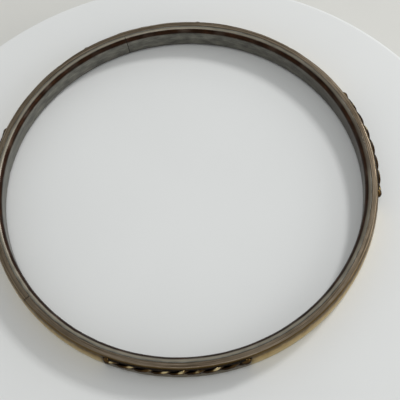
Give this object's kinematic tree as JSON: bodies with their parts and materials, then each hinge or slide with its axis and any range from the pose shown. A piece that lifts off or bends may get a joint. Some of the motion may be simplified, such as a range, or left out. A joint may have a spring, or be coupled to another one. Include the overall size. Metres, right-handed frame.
{
  "type": "bangle bracelet",
  "caption": "Slim closed bangle: a brass band over a white-metal liner, with short lengths of twisted wire soldered round its outside.",
  "frame": {"origin": "centre of the wrist opening, half-way up the band", "axes": "+Z along the wrist opening's axis, towards the rim that the twisted wires lie nearer to; -Y towards the front rope, +X towards the right rope"},
  "size_m": [0.0693, 0.0693, 0.005],
  "materials": {
    "liner_metal": "dull, mottled nickel-silver white metal with brown tarnish on its edges",
    "band_brass": "satin, darkened brass, filed flat on its rims",
    "rope_brass": "tarnished brass wire, dark in its hollows and rubbed bright on its crests",
    "silver_solder": "dull grey-brown solder"
  },
  "bodies": {
    "root": {"liner_band": "liner_metal", "liner_seam": "silver_solder", "band_solder": "silver_solder", "outer_band": "band_brass", "outer_seam": "silver_solder", "front_rope_wire_a": "rope_brass", "front_rope_wire_b": "rope_brass", "front_rope_left_ball": "rope_brass", "front_rope_right_ball": "rope_brass", "front_rope_solder": "silver_solder", "right_rope_wire_a": "rope_brass", "right_rope_wire_b": "rope_brass", "right_rope_near_ball": "rope_brass", "right_rope_far_ball": "rope_brass", "right_rope_solder": "silver_solder", "back_rope_wire_a": "rope_brass", "back_rope_wire_b": "rope_brass", "back_rope_right_ball": "rope_brass", "back_rope_left_ball": "rope_brass", "back_rope_solder": "silver_solder", "left_rope_wire_a": "rope_brass", "left_rope_wire_b": "rope_brass", "left_rope_far_ball": "rope_brass", "left_rope_near_ball": "rope_brass", "left_rope_solder": "silver_solder"}
  },
  "joints": []
}
